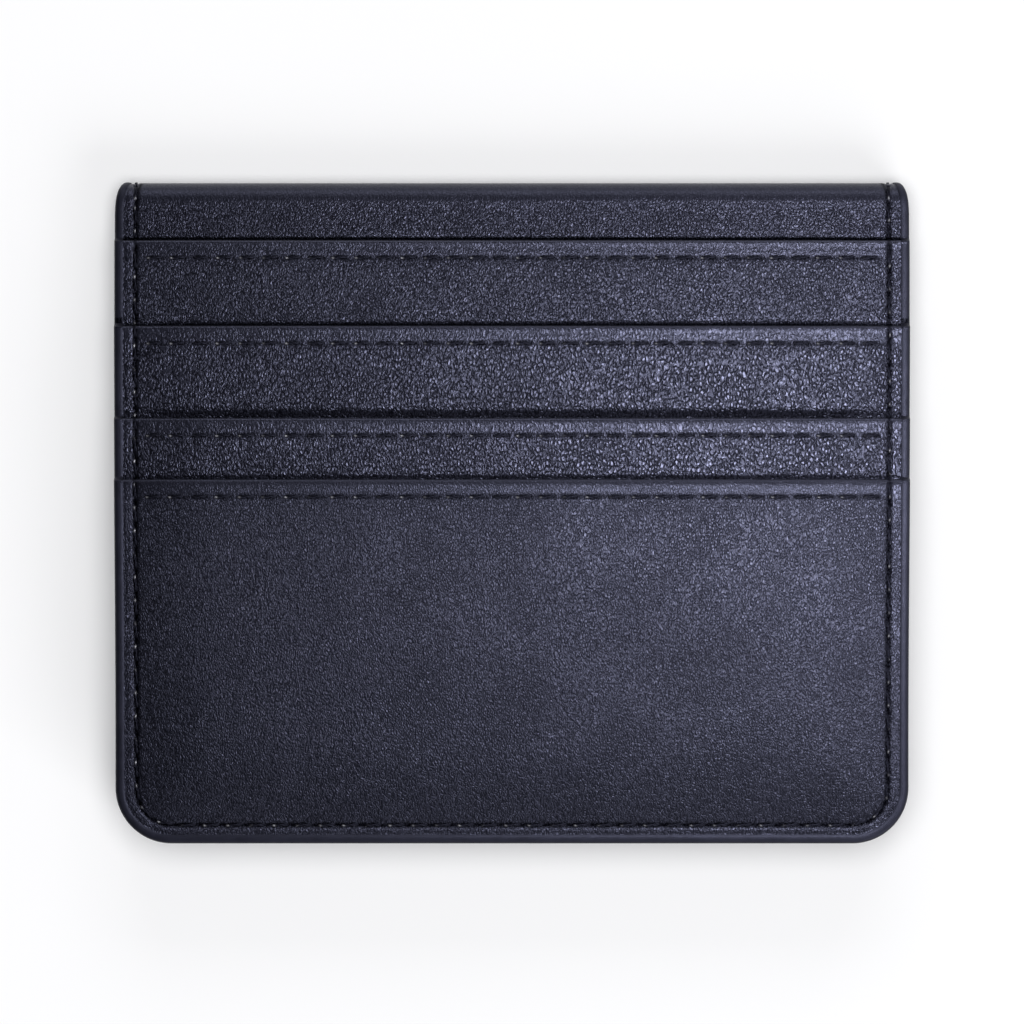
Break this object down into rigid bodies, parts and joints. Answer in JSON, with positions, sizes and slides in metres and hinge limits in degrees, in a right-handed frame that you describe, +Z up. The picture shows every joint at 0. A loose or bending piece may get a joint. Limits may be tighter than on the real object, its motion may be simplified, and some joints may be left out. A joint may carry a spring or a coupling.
{
  "type": "card holder",
  "caption": "Bifold leather card holder with stepped card slots on the front leaf, a slip pocket inside each leaf and a fold along the top edge.",
  "frame": {"origin": "centre of the closed holder's outline, on the flat face it rests on", "axes": "+X along the width, +Y from the open bottom edge towards the fold, +Z up through the leaves, out of the face with the card slots"},
  "size_m": [0.1, 0.083, 0.0108],
  "materials": {
    "shell_leather": "dark navy fine-grain leather, semi-matt with a soft sheen",
    "panel_leather": "dark navy fine-grain leather, semi-matt with a soft sheen",
    "thread": "waxed twisted polyester thread, near black",
    "edge_paint": "satin edge paint, charcoal",
    "lining_cloth": "fine dark twill lining",
    "stiffening_board": "plain bonded leather board"
  },
  "bodies": {
    "back_leaf": {"back_shell": "shell_leather", "back_board": "stiffening_board", "back_lining": "lining_cloth", "back_inner_pocket": "panel_leather", "back_pocket_stitching": "thread", "back_seam_stitching": "thread", "back_edge_coat": "edge_paint", "fold_leather": "shell_leather", "fold_lining": "lining_cloth", "fold_stitching": "thread", "fold_edge_coat": "edge_paint"},
    "front_leaf": {"front_shell": "shell_leather", "front_board": "stiffening_board", "front_lining": "lining_cloth", "front_inner_pocket": "panel_leather", "front_pocket_stitching": "thread", "front_seam_stitching": "thread", "front_edge_coat": "edge_paint", "slot_1_panel": "panel_leather", "slot_2_panel": "panel_leather", "slot_3_panel": "panel_leather", "slot_4_panel": "panel_leather", "slot_1_lining": "lining_cloth", "slot_2_lining": "lining_cloth", "slot_3_lining": "lining_cloth", "slot_4_lining": "lining_cloth", "slot_1_stitching": "thread", "slot_2_stitching": "thread", "slot_3_stitching": "thread", "slot_4_stitching": "thread"}
  },
  "joints": [
    {"name": "fold", "type": "hinge", "parent": "back_leaf", "child": "front_leaf", "pos_m": [0, 0.04095, 0.0054], "axis": [-1, 0, 0], "range_deg": [0, 179.5], "deforming": ["fold_leather", "fold_lining", "fold_stitching", "fold_edge_coat"]}
  ]
}
